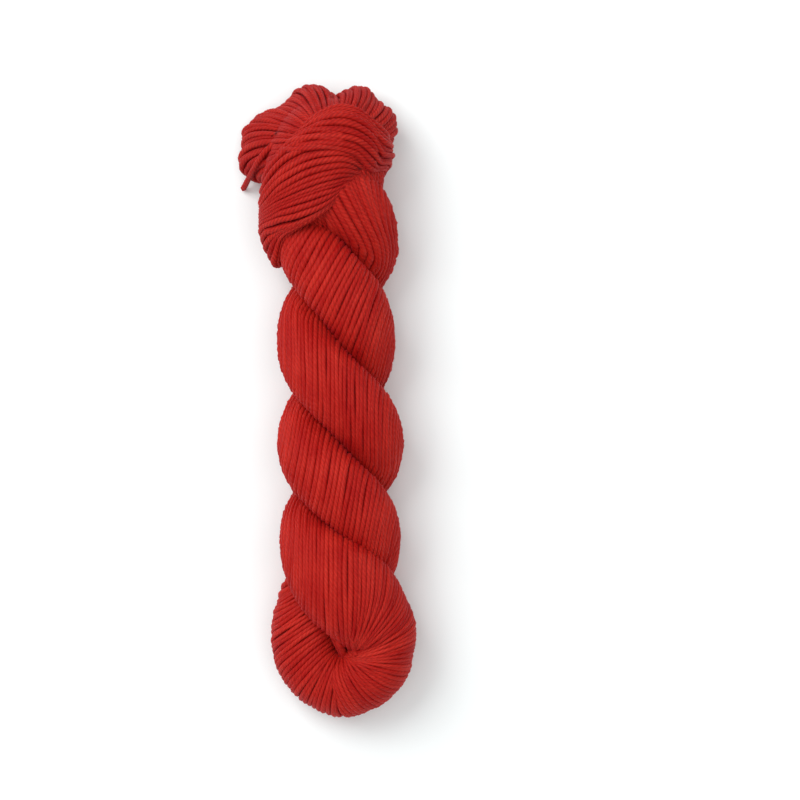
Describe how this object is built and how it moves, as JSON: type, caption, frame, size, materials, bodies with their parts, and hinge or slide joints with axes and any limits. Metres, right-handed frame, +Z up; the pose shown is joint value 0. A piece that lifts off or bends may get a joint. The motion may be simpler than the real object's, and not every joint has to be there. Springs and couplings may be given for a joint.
{
  "type": "hank of yarn",
  "caption": "Twisted hank of plied wool yarn, folded on itself with one end loop tucked through the other, lying flat.",
  "frame": {"origin": "under the middle of the bounding box, on the surface that the hank lies on", "axes": "+Y along the hank from the knob of its fold to the crown of its end loop, +X to the right seen from above with the crown at the top, +Z up"},
  "size_m": [0.0761, 0.2687, 0.0509],
  "materials": {
    "yarn": "woolly, matt, red"
  },
  "bodies": {
    "root": {"hank": "yarn", "loose_end": "yarn"}
  },
  "joints": []
}
